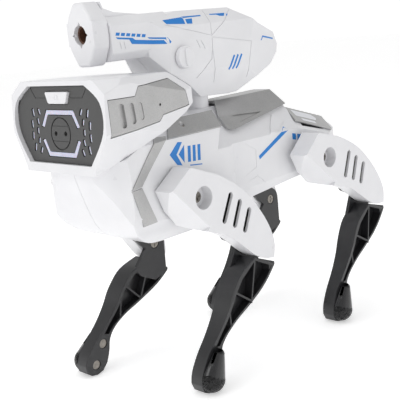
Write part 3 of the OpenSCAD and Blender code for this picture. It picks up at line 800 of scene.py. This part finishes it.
# The round badge: a ring groove, two bands across it and two blind holes
ring = carve(rod(radius, "y", -1, 0.9, (cx, cz), 64),
             rod(radius - faceLook["grooveWidth"], "y", -2, 2, (cx, cz), 64))
bands = [prism(stripLine((cx - 8.4, cz + z), (cx + 8.4, cz + z), 0.5), "y", -1, 0.35)
         for z in (4.6, -4.6)]
plate = carve(plate, ring)
plate = carve(plate, gather(bands + [rod(1.5, "y", -1, 2, (cx + x, cz)) for x in (-5, 5)]))
insetLines = [prism(line, "y", -1, 0.4) for line in outlineStrips(faceLook["inset"], 0.5, False)]
plate = carve(plate, gather(insetLines))
finishPiece("facePlate", moved(plate, faceFrame), finishes["face_grey"], "trunk", ["face_plate"])
bars = gather(barPrisms(0, 0.25, 4))
roundEdges(bars, 0.25, 2, 40, lambda e: both(e, lambda c: c.y < 1))
finishPiece("lightBars", moved(bars, faceFrame), finishes["lens"], "trunk", ["light_bars"])
studs = gather(studPrisms(0.62, 0.3, 0.35, 4))
finishPiece("lightStuds", moved(studs, faceFrame), finishes["lens"], "trunk", ["light_studs"])
button = prism(faceLook["button"], "y", -1.8, 4)
roundEdges(button, 1.3, 4, 40, lambda e: abs(e.verts[0].co.y - e.verts[1].co.y) > 4)
roundEdges(button, 0.6, 3, 50, lambda e: both(e, lambda c: c.y < -1.7))
button = carve(button, prism([(-13.5, 11), (13.5, 11), (13.5, 22), (-13.5, 22)], "y", 4, 5.2),
               "UNION")
raised = carve(rod(1.9, "y", -2.05, -1.5, (0, 16.8), 32), rod(1.4, "y", -3, 0, (0, 16.8), 32))
finishPiece("powerButton", moved(gather([button, raised]), faceFrame), finishes["white_shell"],
            "button", ["power_button"])
print("face")

# --- launcher
launcherLook = {
    "side": [(-60, 219), (-49, 207), (-30, 197), (-17, 187.4), (12, 185.6), (20, 186), (36, 193),
             (58, 201), (69, 209), (71, 215), (66, 224), (44, 232), (27, 241), (20, 245),
             (-30, 246), (-60, 240)],
    "top": [(0.1, -61), (12, -61), (20, -47), (20, 30), (10, 72), (0.1, 72)],
    "across": [(0, 248), (8, 247), (18, 236), (20, 222), (19, 205), (11, 184), (0, 184)],
    "barrel": [(0.1, 246.5), (9, 246.5), (14, 241), (14, 224), (9, 219), (0.1, 219)],
    "fairing": [(-90, 256), (-88.4, 252), (-80, 249), (-60, 246.5), (-50, 246), (-50, 238),
                (-90, 238)],
    "muzzle": [(4.5, 256.5), (10, 249.5), (12.6, 244), (13, 236), (12.4, 229), (8.5, 222),
               (5.5, 217.5)],
    "collar": [(-102.8, 245), (-99.5, 244.6), (-91, 237.4), (-99.5, 230.6), (-102.8, 230.2)],
    "barrelZ": 237, "tube": 6, "starReach": (8.2, 4.4), "round": 1.2,
}


def launcherHalf(side):
    look = launcherLook
    body = crossed([prism(look["side"], "x", 0.1, 40), prism(look["top"], "z", 180, 260),
                    prism(look["across"], "y", -70, 80)])
    # The flank turns under towards the tail
    sliceOff(body, (20.2, 28, 219), (20.2, -2, 187), (13, 70, 214))
    roundEdges(body, look["round"], 3, 14, lambda e: both(e, lambda c: c.x > 0.3))
    barrel = prism(look["barrel"], "y", -90, -40)
    roundEdges(barrel, 0.8, 3, 14, lambda e: both(e, lambda c: c.x > 0.3 and -91 < c.y))
    fairing = prism(look["fairing"], "x", 0.1, 7.5)
    roundEdges(fairing, 0.8, 2, 14, lambda e: both(e, lambda c: c.x > 7))
    body = carve(body, barrel, "UNION")
    body = carve(body, fairing, "UNION")
    # Panel seams on the flank, as grooves of one depth
    lines = [((-7.6, 227.6), (-46.8, 237.7)), ((-7.6, 227.6), (-5.4, 244)),
             ((-7.6, 227.6), (19.7, 243)), ((-7.6, 226.4), (31.6, 220)),
             ((-7.6, 226.4), (-9.8, 212.1)), ((-9.8, 212.1), (-24.2, 201)),
             ((-8.5, 219), (-6.3, 195.8)), ((31.6, 220), (28, 195.5)),
             ((-22.7, 225.6), (-20.5, 220.5)), ((-18.5, 224.9), (-16, 219.6))]
    grooves = [prism(stripLine(a, b, 0.6), "x", 10, 40) for a, b in lines]
    inner = crossed([prism(look["side"], "x", -1, 39.5), prism(look["top"], "z", 180, 260),
                     prism([(x - 0.45 if x else x, z) for x, z in look["across"]], "y", -70, 80)])
    sliceOff(inner, (19.75, 28, 219), (19.75, -2, 187), (12.55, 70, 214))
    body = carve(body, carve(gather(grooves), inner))
    # Two short slots on the barrel
    dashes = [stripLine(a, b, 0.7) for a, b in (
        ((-84, 230.5), (-83.4, 226.8)), ((-80.6, 230), (-80, 226.3)))]
    body = carve(body, gather([prism(dash, "x", 13.6, 20) for dash in dashes]))
    body = carve(body, gather([rod(look["tube"], "y", -100, -40, (0, look["barrelZ"]))]))
    body = carve(body, rod(8, "z", 180, 192, (0, -9)))
    if side > 0:
        body = carve(body, rod(3.05, "x", 10, 30, (-37, 216)))
    return moved(body, sideways(side))


def muzzleBody():
    look = launcherLook
    body = prism(mirrored(look["muzzle"]), "y", -103, -90)
    roundEdges(body, 1.8, 4, 18)
    for side in (1, -1):
        collar = moved(prism(look["collar"], "x", 9, 12.95), sideways(side))
        roundEdges(collar, 0.4, 2, 20)
        body = carve(body, collar, "UNION")
    body = carve(body, rod(look["tube"], "y", -104, -89, (0, look["barrelZ"])))
    # Four notches make the mouth a star, a little taller than wide
    points = []
    for k in range(8):
        reach = look["starReach"][k % 2]
        points.append((reach * math.sin(k * math.pi / 4) * 0.92,
                       look["barrelZ"] + reach * math.cos(k * math.pi / 4)))
    body = carve(body, prism(points, "y", -104, -101.4))
    return body


for side, word in ((1, "left"), (-1, "right")):
    finishPiece(f"launcherCover_{word}", launcherHalf(side), finishes["white_shell"], "launcher",
                [f"launcher_shell_{word}"])
finishPiece("muzzleCap", muzzleBody(), finishes["white_shell"], "launcher", ["muzzle_cap"])
knob = rod(7.2, "x", 20.3, 23.5, (-37, 216), 56)
roundEdges(knob, 0.9, 3, 60, lambda e: both(e, lambda c: c.x > 23))
grip = prism(slotLine((-37, 211.6), (-37, 220.4), 1.5), "x", 23.4, 24.7)
roundEdges(grip, 0.4, 2, 60, lambda e: both(e, lambda c: c.x > 24.5))
finishPiece("loadingKnob", gather([knob, grip, rod(3, "x", 15, 20.5, (-37, 216))]),
            finishes["white_shell"], "knob", ["side_knob"])
post = gather([rod(8, "z", 168, 192, (0, -9)), rod(11, "z", 165, 168, (0, -9))])
roundEdges(post, 0.5, 2, 60)
finishPiece("swivelPost", post, finishes["white_shell"], "launcher", ["turret_post"])
print("launcher")

# --- printed marks, all plain shapes
shoulderMarks = [
    [(-75.5, 159.2), (-67.4, 165.9), (-63.5, 165.2), (-69.4, 158.2), (-65.1, 150.5),
     (-69.7, 151.7)],
    [(-67.6, 158.1), (-61.8, 163.2), (-63.0, 151.8)],
    [(-58.8, 161.9), (-56.2, 161.7), (-57.2, 151.4), (-59.8, 151.6)],
    [(-54.4, 161.6), (-51.8, 161.4), (-52.8, 151.1), (-55.4, 151.3)],
    [(-50, 161.3), (-47.4, 161.1), (-48.4, 150.8), (-51, 151)],
    [(-58.2, 149.6), (-47.4, 148.3), (-47.4, 147.6), (-58.2, 148.9)],
]
barrelMarks = [
    [(-86.7, 233.7), (-73.2, 232.2), (-71.4, 230.8), (-50.6, 228.5), (-48.8, 225.8),
     (-74.4, 228.5), (-76.1, 231.4), (-85.5, 232.5)],
    [(-61.0, 231.4), (-48, 229.9), (-45.4, 227), (-46.6, 225.9), (-48.2, 226.4),
     (-49.8, 229), (-59.6, 230.4)],
]
barrelMarks += [[(y, z), (y + 3, z - 0.4), (y + 2.2, z - 2.2), (y - 0.8, z - 1.8)]
                for y, z in [(-86 + 4.2 * k, 236.6 - 0.56 * k) for k in range(6)]]
topMarks = [
    [(-46.3, 240.9), (-28.6, 241.6), (-27.6, 240.6), (-29.3, 237.0), (-45.0, 238.2)],
    [(-26.4, 240.0), (-20.0, 240.1), (-22.9, 236.7), (-27.6, 237.0)],
    [(-28.2, 241.9), (-10.3, 241.7), (-10.7, 240.9), (-27.1, 240.9)],
    [(-1.8, 241.7), (13.3, 241.4), (10.7, 239.4), (6.6, 239.7), (4.6, 240.7), (-1.7, 241.1)],
    [(14.4, 241.2), (16.6, 241.2), (14.3, 239.4), (12.6, 239.3)],
]
flankMarks = [stripLine((7.5 + 3.8 * k, 203.5), (12.5 + 3.8 * k, 211.5), 1.6) for k in range(3)]
tailMarks = [[(45.9, 219.4), (48.8, 222.6), (64.7, 219.6), (64.4, 218.6), (49.2, 221.4),
              (47, 219.1)]]
launcherLeft = bpy.data.objects["launcherCover_left"]
launcherRight = bpy.data.objects["launcherCover_right"]
for side, word, target in ((1, "left", launcherLeft), (-1, "right", launcherRight)):
    for name, marks in (("barrel", barrelMarks), ("crest", topMarks), ("flank", flankMarks),
                        ("tail", tailMarks)):
        printOn(f"{name}Print_{word}", target, marks, "x", side, printBlue, "launcher")
    printOn(f"shoulderPrint_{word}", bpy.data.objects[f"chestCover_{word}"], shoulderMarks, "x",
            side, printBlue, "trunk")
    printOn(f"hipStripe_{word}", bpy.data.objects[f"rearCover_{word}"],
            [[(11.2, 141.6), (43.5, 157.1), (45.2, 154.4), (11.8, 139.0)]], "x", side, printBlue,
            "trunk")
    rumpMarks = [[(49 + 5.6 * k, 151.2 - 1.4 * k), (53 + 5.6 * k, 150.2 - 1.4 * k),
                  (53 + 5.6 * k, 145.7 - 1.4 * k), (49 + 5.6 * k, 146.7 - 1.4 * k)]
                 for k in range(5)]
    printOn(f"rumpPrint_{word}", bpy.data.objects[f"rearCover_{word}"], rumpMarks, "x", side,
            printBlue, "trunk")
    plateMarks = [[(side * (22 + a), b) for a, b in line] for line in (
        [(0, 66), (5, 66), (5, 90), (2.5, 93), (0, 90)], [(6.5, 70), (8.5, 70), (8.5, 86), (6.5, 86)])]
    printOn(f"plateBars_{word}", bpy.data.objects["rumpPlate"], plateMarks, "z", 1, printPale,
            "trunk")
print("prints")

# --- camera, lights and floor
cameraLook = {
    "at": (415.19, -417.09, 243.38), "right": (0.7074, 0.6995, -0.1016),
    "up": (-0.0851, 0.2270, 0.9702), "back": (0.7017, -0.6776, 0.2201), "lens": 74.445,
}
camera = bpy.data.objects.new("camera", bpy.data.cameras.new("camera"))
bpy.context.scene.collection.objects.link(camera)
camera.data.lens = cameraLook["lens"]
camera.data.sensor_width = 36
camera.matrix_world = Matrix.Translation(Vector(cameraLook["at"]) * mm) @ Matrix(
    [cameraLook["right"], cameraLook["up"], cameraLook["back"]]).transposed().to_4x4()
bpy.context.scene.camera = camera

lights = {
    "topSoftbox": {"at": (-0.1, -0.15, 1.1), "size": 1.0, "power": 3.2},
    "frontSoftbox": {"at": (-0.15, -1.1, 0.8), "size": 0.5, "power": 1.6},
}
for name, look in lights.items():
    lamp = bpy.data.objects.new(name, bpy.data.lights.new(name, "AREA"))
    bpy.context.scene.collection.objects.link(lamp)
    lamp.data.size = look["size"]
    lamp.data.energy = look["power"]
    lamp.location = look["at"]
    lamp.rotation_euler = (Vector((0, 0, 0.12)) - Vector(look["at"])).to_track_quat(
        "-Z", "Y").to_euler()

world = bpy.data.worlds.new("studio")
world.use_nodes = True
sky = world.node_tree.nodes["Background"]
sky.inputs["Color"].default_value = linear("FFFFFF")
# A bright sweep behind the table that darkens towards the ceiling
toSky = addNode(world.node_tree, "ShaderNodeTexCoord").outputs["Generated"]
heights = addNode(world.node_tree, "ShaderNodeSeparateXYZ", None, {"Vector": toSky})
glow = addNode(world.node_tree, "ShaderNodeMapRange",
               {"From Min": 0.2, "From Max": 0.6, "To Min": 1.04, "To Max": 0.5},
               {"Value": heights.outputs["Z"]})
world.node_tree.links.new(glow.outputs["Result"], sky.inputs["Strength"])
bpy.context.scene.world = world
bpy.context.scene.view_settings.view_transform = "Standard"

sheet = bmesh.new()
bmesh.ops.create_grid(sheet, x_segments=1, y_segments=1, size=4)
floorMesh = bpy.data.meshes.new("studioFloor")
sheet.to_mesh(floorMesh)
sheet.free()
floor = bpy.data.objects.new("studioFloor", floorMesh)
bpy.context.scene.collection.objects.link(floor)
floorMesh.materials.append(studioPaper())
print("camera and lights")
